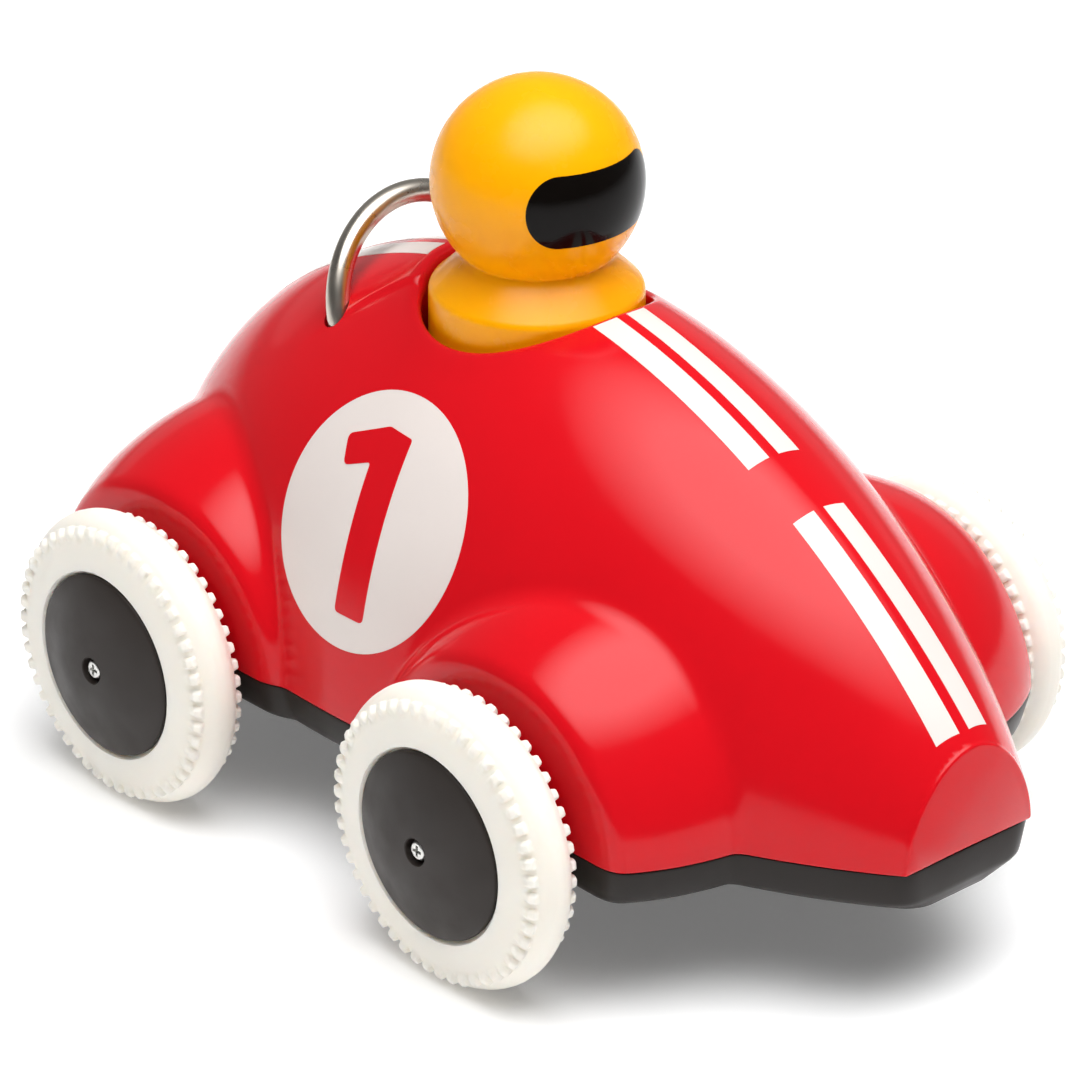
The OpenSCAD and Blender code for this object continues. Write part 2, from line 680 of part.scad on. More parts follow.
module axle(x) {
    color("silver") on_wheelbase() difference() {
        across([x, axle_z], axle_r, [-axle_half, axle_half]);
        for (s = [-1, 1]) wheel_frame(x, s) translate([0, 0, -5]) cylinder(r = 0.95, h = 8);
    }
}

module rear_axle() { axle(rear_x); }
module front_axle() { axle(front_x); }
module rear_axle_gear() {
    color("ivory") on_wheelbase() difference() {
        gear(axle_p, axle_gear_n, axle_gear_phase, final_y);
        across(axle_p, axle_r, [final_y[0] - 1, final_y[1] + 1]);
    }
}
module rear_left_hub() { hub(rear_x, 1); }
module rear_right_hub() { hub(rear_x, -1); }
module front_left_hub() { hub(front_x, 1); }
module front_right_hub() { hub(front_x, -1); }
module rear_left_tyre() { tyre(rear_x, 1); }
module rear_right_tyre() { tyre(rear_x, -1); }
module front_left_tyre() { tyre(front_x, 1); }
module front_right_tyre() { tyre(front_x, -1); }
module rear_hub_screws() { for (s = [-1, 1]) hub_screw(rear_x, s); }
module front_hub_screws() { for (s = [-1, 1]) hub_screw(front_x, s); }

body_shell();
chassis_base();
roll_bar();
chassis_screws();
gearbox_left();
gearbox_right();
gearbox_screws();
gearbox_mount_screws();
front_bushes();
rear_bushes();
driver_figure();
driver_plunger();
return_spring();
input_shaft();
rack_pinion();
ratchet_spider();
clutch_gear();
compound_gear();
compound_shaft();
flywheel();
flywheel_shaft();
rear_axle();
rear_axle_gear();
front_axle();
rear_left_hub();
rear_right_hub();
front_left_hub();
front_right_hub();
rear_left_tyre();
rear_right_tyre();
front_left_tyre();
front_right_tyre();
rear_hub_screws();
front_hub_screws();
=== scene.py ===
"""Looks of a push-and-go toy racing car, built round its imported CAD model.

Geometry is worked out in millimetres, with x measured from the middle of the wheelbase,
z from the ground and h from the joint between shell and chassis. Meshes are in metres.
"""
import json
import math

import bmesh
import bpy
import numpy as np
from mathutils import Matrix, Vector


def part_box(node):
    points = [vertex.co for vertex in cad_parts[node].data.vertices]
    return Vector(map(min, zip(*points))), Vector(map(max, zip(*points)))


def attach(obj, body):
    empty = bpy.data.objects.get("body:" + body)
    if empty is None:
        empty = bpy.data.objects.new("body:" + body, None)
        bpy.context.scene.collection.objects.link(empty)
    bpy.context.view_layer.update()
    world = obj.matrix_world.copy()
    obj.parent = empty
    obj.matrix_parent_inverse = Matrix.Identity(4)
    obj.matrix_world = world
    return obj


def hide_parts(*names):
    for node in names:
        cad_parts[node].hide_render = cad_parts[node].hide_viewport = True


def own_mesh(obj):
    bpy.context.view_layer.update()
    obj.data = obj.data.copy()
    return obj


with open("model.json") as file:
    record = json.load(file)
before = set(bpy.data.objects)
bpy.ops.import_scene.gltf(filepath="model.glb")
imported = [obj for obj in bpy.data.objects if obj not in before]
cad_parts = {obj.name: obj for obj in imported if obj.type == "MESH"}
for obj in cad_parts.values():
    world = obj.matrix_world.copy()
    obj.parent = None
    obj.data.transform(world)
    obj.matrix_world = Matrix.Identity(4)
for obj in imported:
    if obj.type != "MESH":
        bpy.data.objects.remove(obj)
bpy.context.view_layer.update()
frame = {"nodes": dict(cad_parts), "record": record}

MM = 0.001
nodes = frame["nodes"]
scene = bpy.context.scene


def low(node):
    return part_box(node)[0] / MM


def high(node):
    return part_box(node)[1] / MM


def middle(node):
    return (low(node) + high(node)) / 2


# ---- Sizes taken from the CAD model ------------------------------------------------------
MID_X = (middle("rear_left_hub").x + middle("front_left_hub").x) / 2
PARTING_Z = low("body_shell").z
BELLY_Z = low("chassis_base").z
FACE_Y = high("body_shell").y
NOSE_X = high("body_shell").x - MID_X
WELL_X = middle("driver_figure").x - MID_X
AXLE_Z = middle("rear_left_hub").z
AXLE_X = [middle(n).x - MID_X for n in ("front_left_hub", "rear_left_hub")]
WHEEL_Y = middle("front_left_tyre").y
TYRE_R = high("front_left_tyre").z - AXLE_Z
HEAD_R = 14.0
HEAD_Z = high("driver_figure").z - HEAD_R

# ---- Materials ---------------------------------------------------------------------------


def shader(name, rough, metal=0.0, ior=1.5, scatter=0.0, spread=0.002):
    """A new material with one Principled shader; returns the material, its nodes and links."""
    mat = bpy.data.materials.new(name)
    mat.use_nodes = True
    tree = mat.node_tree
    bsdf = tree.nodes["Principled BSDF"]
    bsdf.inputs["Roughness"].default_value = rough
    bsdf.inputs["Metallic"].default_value = metal
    bsdf.inputs["IOR"].default_value = ior
    bsdf.inputs["Subsurface Weight"].default_value = scatter
    bsdf.inputs["Subsurface Scale"].default_value = spread
    bsdf.inputs["Subsurface Radius"].default_value = (1.0, 0.85, 0.7)
    return mat, tree, bsdf


def noise(tree, scale, detail=3.0, stretch=(1, 1, 1)):
    """A noise factor in object space; scale is in features per metre."""
    coords = tree.nodes.new("ShaderNodeTexCoord")
    mapping = tree.nodes.new("ShaderNodeMapping")
    mapping.inputs["Scale"].default_value = stretch
    texture = tree.nodes.new("ShaderNodeTexNoise")
    texture.inputs["Scale"].default_value = scale
    texture.inputs["Detail"].default_value = detail
    tree.links.new(coords.outputs["Object"], mapping.inputs["Vector"])
    tree.links.new(mapping.outputs["Vector"], texture.inputs["Vector"])
    return texture.outputs["Fac"]


def ramp(tree, factor, stops):
    """A colour ramp; stops is a list of (position, colour)."""
    node = tree.nodes.new("ShaderNodeValToRGB")
    elements = node.color_ramp.elements
    elements[0].position, elements[0].color = stops[0][0], (*stops[0][1], 1)
    elements[1].position, elements[1].color = stops[-1][0], (*stops[-1][1], 1)
    for position, colour in stops[1:-1]:
        elements.new(position).color = (*colour, 1)
    tree.links.new(factor, node.inputs["Fac"])
    return node.outputs["Color"]


def stretched(tree, factor, start, end):
    """The factor's useful middle, stretched to a range."""
    node = tree.nodes.new("ShaderNodeMapRange")
    node.inputs["From Min"].default_value = 0.3
    node.inputs["From Max"].default_value = 0.7
    node.inputs["To Min"].default_value = start
    node.inputs["To Max"].default_value = end
    tree.links.new(factor, node.inputs["Value"])
    return node.outputs["Result"]


def bumps(tree, bsdf, layers):
    """Chains layers of (factor, depth in metres) into the shader's normal."""
    last = None
    for factor, depth in layers:
        node = tree.nodes.new("ShaderNodeBump")
        node.inputs["Distance"].default_value = depth
        node.inputs["Strength"].default_value = 1.0
        tree.links.new(factor, node.inputs["Height"])
        if last is not None:
            tree.links.new(last, node.inputs["Normal"])
        last = node.outputs["Normal"]
    tree.links.new(last, bsdf.inputs["Normal"])


def shades(colour, share):
    """Two close shades either side of a colour."""
    return [tuple(c * (1 - share) for c in colour), tuple(min(1, c * (1 + share)) for c in colour)]


def moulded(name, colour, rough, vary=0.04, peel=0.000004, grain=0.0000015, **options):
    """Moulded plastic: close shades, uneven gloss, a soft waviness and a fine grain."""
    mat, tree, bsdf = shader(name, rough, **options)
    dark, light = shades(colour, vary)
    tint = ramp(tree, noise(tree, 45, 4), [(0.3, dark), (0.7, light)])
    tree.links.new(tint, bsdf.inputs["Base Color"])
    gloss = stretched(tree, noise(tree, 160, 5), rough * 0.8, rough * 1.25)
    tree.links.new(gloss, bsdf.inputs["Roughness"])
    bumps(tree, bsdf, [(noise(tree, 140, 2), peel * 4), (noise(tree, 2600, 3), grain)])
    return mat


def steel(name, colour, rough, streak=(1, 1, 1)):
    """Drawn or turned metal, with fine streaks and a slightly uneven polish."""
    mat, tree, bsdf = shader(name, rough, metal=1.0)
    dark, light = shades(colour, 0.06)
    tint = ramp(tree, noise(tree, 300, 4, streak), [(0.3, dark), (0.7, light)])
    tree.links.new(tint, bsdf.inputs["Base Color"])
    gloss = stretched(tree, noise(tree, 500, 5, streak), rough * 0.7, rough * 1.4)
    tree.links.new(gloss, bsdf.inputs["Roughness"])
    bumps(tree, bsdf, [(noise(tree, 1800, 4, streak), 0.0000025)])
    return mat


RED = (0.62, 0.005, 0.011)
mat_red = moulded("gloss_red_shell", RED, 0.12, vary=0.03, ior=1.33)
mat_print = moulded("white_print", (0.75, 0.68, 0.645), 0.14, vary=0.015, ior=1.35)
mat_print_red = moulded("red_print", RED, 0.14, vary=0.03, ior=1.33)
mat_black = moulded("satin_black_chassis", (0.018, 0.014, 0.012), 0.36, vary=0.12, ior=1.3,
                    grain=0.000006)
mat_hub = moulded("satin_black_hub", (0.026, 0.02, 0.017), 0.45, vary=0.1, ior=1.33, grain=0.000006)
mat_tyre = moulded("white_rubber", (0.89, 0.85, 0.77), 0.5, vary=0.02, ior=1.4, grain=0.000004,
                   scatter=0.45, spread=0.003)
mat_yellow = moulded("satin_yellow", (0.98, 0.4, 0.0), 0.25, vary=0.03, ior=1.31,
                     grain=0.000003, scatter=0.12, spread=0.002)
mat_visor = moulded("gloss_black_visor", (0.004, 0.003, 0.0025), 0.1, vary=0.1, ior=1.22,
                    peel=0.000006)
mat_bar = moulded("polished_bar", (0.6, 0.55, 0.48), 0.27, vary=0.03, peel=0.0000008,
                  grain=0.0000004, metal=1.0)
mat_zinc = steel("zinc_plate", (0.62, 0.62, 0.6), 0.28)
mat_rod = steel("drawn_rod", (0.6, 0.6, 0.61), 0.24, (1, 0.05, 1))
mat_spring = steel("spring_wire", (0.5, 0.5, 0.52), 0.3)
mat_flywheel = steel("turned_flywheel", (0.42, 0.42, 0.43), 0.35)
mat_brass = steel("turned_brass", (0.72, 0.52, 0.2), 0.25, (1, 0.1, 1))
mat_gearbox = moulded("white_gearbox", (0.78, 0.77, 0.73), 0.4, grain=0.000004)
mat_natural = moulded("natural_gear", (0.82, 0.76, 0.6), 0.36, grain=0.000003, scatter=0.2)
mat_orange = moulded("orange_gear", (0.8, 0.26, 0.03), 0.36, grain=0.000003)

# what each of the record's slots looks like on the CAD nodes that stay
FINISHES = {
    "gearbox_white": mat_gearbox, "bush_natural": mat_natural, "gear_natural": mat_natural,
    "gear_orange": mat_orange, "shaft_steel": mat_rod, "flywheel_metal": mat_flywheel,
    "pinion_brass": mat_brass, "screw_steel": mat_zinc, "spring_steel": mat_spring,
    "shell_red": mat_red, "chassis_black": mat_black, "hub_black": mat_hub,
    "tyre_white": mat_tyre, "driver_yellow": mat_yellow, "bar_steel": mat_bar,
}
for part in frame["record"]["subparts"]:
    for material_slot in nodes[part["node"]].material_slots:
        material_slot.material = FINISHES[part["material_slot"]]

# ---- Making meshes -----------------------------------------------------------------------


def make(name, points, faces, material, sharp=38):
    """A smooth-shaded mesh object from points in millimetres, with its normals outwards."""
    mesh = bpy.data.meshes.new(name)
    placed = (np.asarray(points, float) + (MID_X, 0, 0)) * MM
    mesh.from_pydata(placed.tolist(), [], faces)
    bm = bmesh.new()
    bm.from_mesh(mesh)
    bmesh.ops.recalc_face_normals(bm, faces=bm.faces[:])
    bm.to_mesh(mesh)
    bm.free()
    obj = bpy.data.objects.new(name, mesh)
    scene.collection.objects.link(obj)
    mesh.materials.append(material)
    finish_shading(mesh, sharp)
    return obj


def finish_shading(mesh, sharp):
    """Smooth shading, except at edges sharper than an angle in degrees."""
    mesh.polygons.foreach_set("use_smooth", [True] * len(mesh.polygons))
    mesh.set_sharp_from_angle(angle=math.radians(sharp))
    mesh.update()


def settle(obj, body, slot, *replaced):
    """The piece rides on a body and stands for CAD nodes; slot is not used."""
    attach(obj, body)
    if replaced:
        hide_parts(*replaced)
    return obj


def combine(obj, others, operation, sharp=38):
    """Adds or cuts other closed meshes, which are used up."""
    for other in others:
        modifier = obj.modifiers.new("cut", "BOOLEAN")
        modifier.operation = operation
        modifier.solver = "MANIFOLD"
        modifier.object = other
    graph = bpy.context.evaluated_depsgraph_get()
    mesh = bpy.data.meshes.new_from_object(obj.evaluated_get(graph))
    obj.modifiers.clear()
    old = obj.data
    obj.data = mesh
    mesh.name = obj.name
    bpy.data.meshes.remove(old)
    for other in others:
        bpy.data.meshes.remove(other.data)
    finish_shading(mesh, sharp)


def grid_faces(rows, cols, wrap=True, close=False):
    """Quads between rows of points; wrap joins the columns round, close joins the rows."""
    r = np.arange(rows if close else rows - 1)[:, None]
    c = np.arange(cols if wrap else cols - 1)[None, :]
    up, on = (r + 1) % rows, (c + 1) % cols
    quads = [r * cols + c, r * cols + on, up * cols + on, up * cols + c]
    return np.stack(quads, -1).reshape(-1, 4).tolist()


def lathe(profile, cols):
    """Points and faces of a profile of (radius, height) turned about +Z."""
    profile = np.asarray(profile, float)
    turn = np.arange(cols) * 2 * math.pi / cols
    ends = [i for i in (0, -1) if profile[i][0] < 1e-6]
    inner = profile[(1 if 0 in ends else 0):(-1 if -1 in ends else None)]
    points = np.stack([
        inner[:, 0, None] * np.cos(turn), inner[:, 0, None] * np.sin(turn),
        np.repeat(inner[:, 1, None], cols, 1)], -1).reshape(-1, 3)
    faces = grid_faces(len(inner), cols)
    for end in ends:
        tip = len(points)
        points = np.vstack([points, [0, 0, profile[end][1]]])
        first = 0 if end == 0 else (len(inner) - 1) * cols
        faces += [[tip, first + i, first + (i + 1) % cols] for i in range(cols)]
    return points, faces


def arc(cx, cy, r, start, end, steps):
    """Points on an arc, in degrees, both ends included."""
    return [(cx + r * math.cos(math.radians(a)), cy + r * math.sin(math.radians(a)))
            for a in np.linspace(start, end, steps + 1)]


def tube(path, radius, sides):
    """A closed tube along a path in one plane or a gentle helix."""
    path = np.asarray(path, float)
    ahead = np.gradient(path, axis=0)
    ahead /= np.linalg.norm(ahead, axis=1)[:, None]
    across = np.cross(ahead[0], (0.3, 0.1, 1))
    rings = []
    for centre, tangent in zip(path, ahead):
        across = across - tangent * (across @ tangent)
        across /= np.linalg.norm(across)
        other = np.cross(tangent, across)
        a = np.arange(sides)[:, None] * 2 * math.pi / sides
        rings.append(centre + radius * (np.cos(a) * across + np.sin(a) * other))
    points = np.vstack(rings + [path[:1], path[-1:]])
    faces = grid_faces(len(path), sides)
    end, last = len(points) - 2, (len(path) - 1) * sides
    faces += [[end, (i + 1) % sides, i] for i in range(sides)]
    faces += [[end + 1, last + i, last + (i + 1) % sides] for i in range(sides)]
    return points, faces


def rod(name, start, end, radius):
    """A plain cylinder between two points, used as a cutter or a boss."""
    start, end = np.asarray(start, float), np.asarray(end, float)
    return make(name, *tube([start, (start + end) / 2, end], radius, 48), None)


# ---- The skin of shell and chassis -------------------------------------------------------
# The same curves as the CAD source. A gauge is 1 on its surface and less inside; skin() is 0
# on the car's surface and below 0 inside it.
HULL_HALF_W, HULL_H, HULL_NOSE, TAIL = 36.9, 52.7, 89.9, 67.0
FENDER_X = (32.8, -33.8)
FENDER = (29.9, 48.6, 28.0)
BLEND_R, EDGE_R = 1.2, 1.7


def smooth_min(a, b, r):
    """The lesser of two values, with the corner between them rounded over r."""
    h = np.maximum(r - np.abs(a - b), 0) / r
    return np.minimum(a, b) - h * h * r / 4


def smooth_max(a, b, r):
    return -smooth_min(-a, -b, r)


def hull_gauge(x, y, h):
    ahead, astern = np.maximum(x, 0) / HULL_NOSE, np.maximum(-x, 0) / TAIL
    front, back = np.clip(1 - ahead ** 2, 0, 1), np.clip(1 - astern ** 2.3, 0, 1)
    w = HULL_HALF_W * np.where(x >= 0, front ** 0.777, back ** 0.576)
    front, back = np.clip(1 - ahead ** 1.9, 0, 1), np.clip(1 - astern ** 2, 0, 1)
    t = HULL_H * np.where(x >= 0, front ** 0.83, back ** 0.55)
    thin = np.minimum(w, t) < 0.5
    w, t = np.maximum(w, 0.5), np.maximum(t, 0.5)
    gauge = ((np.abs(y) / w) ** 1.9 + (np.abs(h) / t) ** 1.7) ** 0.55
    return np.where(thin, 9.0, gauge)


def fender_gauge(x, y, h):
    gauges = [np.sqrt((np.abs(x - at) / FENDER[0]) ** 2 + (np.abs(y) / FENDER[1]) ** 3.2
                      + (np.abs(h) / FENDER[2]) ** 1.77) for at in FENDER_X]
    return np.minimum(*gauges)


def smoothstep(v):
    """Rises smoothly from 0 to 1 as v goes from 0 to 1."""
    v = np.clip(v, 0, 1)
    return v * v * (3 - 2 * v)


CREASE_AT = (-16.4, 9.5)                  # a point on the rear deck's crease, in plan
CREASE_ACROSS = (0.64, 0.77)              # direction across it in plan, forwards and outwards
CREASE_W = 1.5
CREASE_DIP, DIP_REACH = 0.099, 16         # depth in front of it, and how far that spreads
CREASE_RISE, RISE_REACH = 0.154, 9        # height behind it, and how far that spreads


def crease(x, y):
    """How far the skin dips in front of the rear deck's crease, and rises behind it."""
    ahead = ((x - CREASE_AT[0]) * CREASE_ACROSS[0]
             + (np.abs(y) - CREASE_AT[1]) * CREASE_ACROSS[1])
    from_driver = np.hypot(x - WELL_X, y)
    step = smoothstep(ahead / CREASE_W)
    dip = CREASE_DIP * step * np.exp(-(np.maximum(ahead, 0) / DIP_REACH) ** 2)
    rise = CREASE_RISE * (1 - step) * np.exp(-(np.minimum(ahead, 0) / RISE_REACH) ** 2)
    near = smoothstep((-2 - x) / 12) * (1 - smoothstep((from_driver - 18) / 17))
    return (dip - rise) * near


def skin(x, y, h):
    """Hull, fenders and crease together."""
    hull = (hull_gauge(x, y, h) - 1) * 30
    fender = smooth_max((fender_gauge(x, y, h) - 1) * 25, np.abs(y) - FACE_Y, EDGE_R)
    high_up = np.clip((h - 25) / 15, 0, 1)
    return smooth_min(hull, fender, BLEND_R) + crease(x, y) * high_up


def halve(inside, near, far, steps=36):
    """Where inside() turns false between near and far, for arrays of both."""
    near, far = np.array(near, float), np.array(far, float)
    for _ in range(steps):
        between = (near + far) / 2
        keep = inside(between)
        near, far = np.where(keep, between, near), np.where(keep, far, between)
    return (near + far) / 2


def ray(az, el):
    """Distance from the foot of the driver's axis to the skin."""
    ce, se = np.cos(el), np.sin(el)
    return halve(lambda r: skin(WELL_X + r * ce * np.cos(az), r * ce * np.sin(az), r * se) < 0,
                 np.full(az.shape, 15.0), np.full(az.shape, 100.0))


def reach(az, h):
    """Horizontal distance from the driver's axis to the skin at one height."""
    return halve(lambda r: skin(WELL_X + r * np.cos(az), r * np.sin(az), h) < 0,
                 np.full(az.shape, 10.0), np.full(az.shape, 100.0))


def top(x, y):
    """Height of the skin over a point."""
    return halve(lambda h: skin(x, y, h) < 0, np.full(x.shape, 5.0), np.full(x.shape, 60.0))


def normal(p):
    """Unit normals of the skin at points of x, y and h."""
    d = 0.05
    steps = np.eye(3) * d
    grads = [skin(*(p + s).T) - skin(*(p - s).T) for s in steps]
    n = np.stack(grads, -1)
    return n / np.linalg.norm(n, axis=1)[:, None]


def polar(az, r, h):
    """Points round the driver's axis, one for each azimuth."""
    r, h = np.broadcast_to(r, az.shape), np.broadcast_to(h, az.shape)
    return np.stack([WELL_X + r * np.cos(az), r * np.sin(az), h + PARTING_Z], -1)


COLS = 640
AROUND = np.arange(COLS) * 2 * math.pi / COLS
WALL = 2.4
WELL_R = 15.05
WELL_FLOOR_H = 50 - PARTING_Z
FLOOR_THICK = 1.6
POCKET_R, POCKET_H = 7, WELL_FLOOR_H - 10  # pocket for the spring, in a tube under the floor
STEM_R = 4.75                             # hole for the driver's stem
TUBE_R, TUBE_H = 8.4, WELL_FLOOR_H - 12
BUSH_HOLE_R = 2.5
BAR_HOLE_R = 1.95
LIP_R = WELL_R + 1.3                      # edge of the well's rounded lip, at its front
LIP_GROWTH = 1.0                          # how much wider the lip is at its back
CHAMFER = [(0.06, 0.16), (0.1, 0.13), (0.13, 0.1), (0.16, 0.06)]   # inward, forward


def cut_nose(obj):
    """Cuts the nose flat and rounds the edge of the flat a little."""
    depth = sum(c[1] for c in CHAMFER)
    bm = bmesh.new()
    bm.from_mesh(obj.data)
    at = Vector(((NOSE_X + MID_X - depth) * MM, 0, 0))
    bmesh.ops.bisect_plane(bm, geom=bm.verts[:] + bm.edges[:] + bm.faces[:],
                           plane_co=at, plane_no=(1, 0, 0), clear_outer=True)
    rim = [e for e in bm.edges if e.is_boundary]
    heights = [v.co.z for e in rim for v in e.verts]
    centre = (min(heights) * 0.6 + max(heights) * 0.4)
    for inward, forward in CHAMFER:
        grown = bmesh.ops.extrude_edge_only(bm, edges=rim)["geom"]
        for v in grown:
            if isinstance(v, bmesh.types.BMVert):
                aim = Vector((0, -v.co.y, centre - v.co.z)).normalized()
                v.co += aim * inward * MM + Vector((forward * MM, 0, 0))
        rim = [e for e in grown if isinstance(e, bmesh.types.BMEdge) and e.is_boundary]
    bmesh.ops.contextual_create(bm, geom=rim)
    bmesh.ops.recalc_face_normals(bm, faces=bm.faces[:])
    bm.to_mesh(obj.data)
    bm.free()
    finish_shading(obj.data, 38)


def bush_holes():
    """Cutters for the four axle holes in the side walls."""
    return [rod("hole", (x, s * (FACE_Y - 4), AXLE_Z), (x, s * (FACE_Y + 3), AXLE_Z), BUSH_HOLE_R)
            for x in AXLE_X for s in (-1, 1)]


def build_shell():
    """The red shell: its outside from the joint up, then the well, the floor and the inside."""
    rows = []
    for inset, h in ((0.32, 0.0), (0.12, 0.08), (0.02, 0.24)):
        rows.append(polar(AROUND, reach(AROUND, h) - inset, h))
    first = np.arctan2(0.45, reach(AROUND, 0.45))
    lip = LIP_R + LIP_GROWTH * (1 - np.cos(AROUND)) / 2
    last = halve(lambda el: ray(AROUND, el) * np.cos(el) > lip, first, np.full(COLS, 1.5), 24)
    for t in np.linspace(0, 1, 210):
        el = first + (last - first) * t
        r = ray(AROUND, el)
        rows.append(polar(AROUND, r * np.cos(el), r * np.sin(el)))
    edge = rows[-1]
    lip_h = top(WELL_X + WELL_R * np.cos(AROUND), WELL_R * np.sin(AROUND))
    corner = polar(AROUND, WELL_R, lip_h)
    under = polar(AROUND, WELL_R, lip_h - (lip - WELL_R) * 1.1)
    for t in np.linspace(0, 1, 8)[1:]:
        rows.append((1 - t) ** 2 * edge + 2 * t * (1 - t) * corner + t * t * under)
    rows.append(polar(AROUND, WELL_R, (lip_h - 3 + WELL_FLOOR_H) / 2))
    inner_lip = WELL_R + FLOOR_THICK
    last_in = halve(lambda el: (ray(AROUND, el) - WALL) * np.cos(el) > inner_lip,
                    np.zeros(COLS), np.full(COLS, 1.5), 24)
    under_floor = WELL_FLOOR_H - FLOOR_THICK
    for r, h in ((WELL_R, WELL_FLOOR_H), (POCKET_R, WELL_FLOOR_H), (POCKET_R, POCKET_H),
                 (STEM_R, POCKET_H), (STEM_R, TUBE_H), (TUBE_R, TUBE_H),
                 (TUBE_R, under_floor), (inner_lip, under_floor)):
        rows.append(polar(AROUND, r, h))
    for t in np.linspace(1, 0, 28):
        el = last_in * t
        flat = (NOSE_X - WALL - WELL_X) / np.maximum(0.01, np.cos(AROUND) * np.cos(el))
        r = np.minimum(ray(AROUND, el) - WALL, flat)
        rows.append(polar(AROUND, r * np.cos(el), r * np.sin(el)))
    obj = make("shell", np.vstack(rows), grid_faces(len(rows), COLS, close=True), mat_red)
    cut_nose(obj)
    holes = bush_holes()
    for s in (-1, 1):
        holes.append(rod("hole", bar_point(s * BEND_R, -9), bar_point(s * BEND_R, 6), BAR_HOLE_R))
    combine(obj, holes, "DIFFERENCE")
    return obj


# ---- Roll bar ----------------------------------------------------------------------------
BAR_R, BEND_R = 1.6, 14.8
BAR_LEG = 12                              # straight part of each leg below the bend
BAR_FOOT = (-23.7, 64.2)                  # x and z where the bar meets the skin
BAR_LEAN = math.radians(19)
BAR_SINK = 2.1


def bar_point(y, up):
    """A point in the bar's plane; up is measured along the lean from the bend's middle."""
    rise = up - BAR_SINK
    return (BAR_FOOT[0] - math.sin(BAR_LEAN) * rise, y, BAR_FOOT[1] + math.cos(BAR_LEAN) * rise)


def build_bar():
    path = [bar_point(-BEND_R, v) for v in np.linspace(-BAR_LEG, -1, 6)]
    path += [bar_point(*p) for p in arc(0, 0, BEND_R, 180, 0, 72)]
    path += [bar_point(BEND_R, v) for v in np.linspace(-1, -BAR_LEG, 6)]
    return make("bar", *tube(path, BAR_R, 40), mat_bar)


# ---- Chassis -----------------------------------------------------------------------------
SHELL_SCREWS = ((66, 0), (-52, 0), (14, 25.5), (14, -25.5))
BOSS_R, COUNTERBORE_R, SCREW_HOLE_R = 3.4, 2.2, 1.3
COUNTERBORE_H = 2.4
BASE_SLOPE, BASE_NOSE = 7.0, 2            # inset of the flat underside, at the sides and the nose
BASE_EDGE = ((BASE_SLOPE, BELLY_Z), (6.5, 14.57), (4.4, 15.45), (2.1, 16.45), (1.65, 16.72),
             (1.3, 17.0), (1.12, 17.35), (1.0, 17.8))      # inset and height
BASE_RIM = ((0.12, -0.45), (0.24, -0.12), (0.5, -0.02))    # inset and height from the joint
NOSE_SHARE = 0.27                         # how much of the inset the nose takes
BASE_WALL, BASE_STEP_Z = 2.1, 17.8
BASE_INSET, BASE_INSET_NOSE = 7.1, 4      # inside, below the step
BASE_FLOOR_Z = BELLY_Z + 1.8


def build_base():
    """The black tub: its underside, its outside up to the joint, then the inside."""
    floor_h = BASE_FLOOR_Z - PARTING_Z
    side = reach(AROUND, 0.0)

    def outline(inset, nose_inset):
        nose = (NOSE_X - WELL_X - nose_inset) / np.maximum(0.01, np.cos(AROUND))
        return smooth_min(side - inset, nose, 2.4)

    rows = [polar(AROUND, outline(BASE_SLOPE, BASE_NOSE) * s, BELLY_Z - PARTING_Z)
            for s in (0.2, 0.5, 0.8)]
    for inset, z in BASE_EDGE:
        rows.append(polar(AROUND, outline(inset, 0.12 + inset * NOSE_SHARE), z - PARTING_Z))
    for inset, h in (*BASE_RIM, (BASE_WALL, -0.02), (BASE_WALL, BASE_STEP_Z - PARTING_Z)):
        rows.append(polar(AROUND, outline(inset, inset), h))
    inside = outline(BASE_INSET, BASE_INSET_NOSE)
    for share, h in ((1, BASE_STEP_Z - PARTING_Z), (1, floor_h), (0.3, floor_h)):
        rows.append(polar(AROUND, inside * share, h))
    count = len(rows)
    points = np.vstack(rows + [[[WELL_X, 0, BELLY_Z], [WELL_X, 0, BASE_FLOOR_Z]]])
    faces = grid_faces(count, COLS)
    faces += [[count * COLS, (i + 1) % COLS, i] for i in range(COLS)]
    tail = (count - 1) * COLS
    faces += [[count * COLS + 1, tail + i, tail + (i + 1) % COLS] for i in range(COLS)]
    obj = make("base", points, faces, mat_black)
    bosses = [rod("boss", (x, y, BELLY_Z + 0.5), (x, y, PARTING_Z - 0.1), BOSS_R)
              for x, y in SHELL_SCREWS]
    combine(obj, bosses, "UNION")
    cuts = [rod("cut", (x, y, BELLY_Z - 1), (x, y, BELLY_Z + COUNTERBORE_H), COUNTERBORE_R)
            for x, y in SHELL_SCREWS]
    cuts += [rod("cut", (x, y, BELLY_Z + 2), (x, y, PARTING_Z + 1), SCREW_HOLE_R)
             for x, y in SHELL_SCREWS]
    combine(obj, cuts + bush_holes(), "DIFFERENCE")
    return obj


def side_name(s):
    return "left" if s > 0 else "right"


# ---- Prints on the shell -----------------------------------------------------------------
INK = 0.05


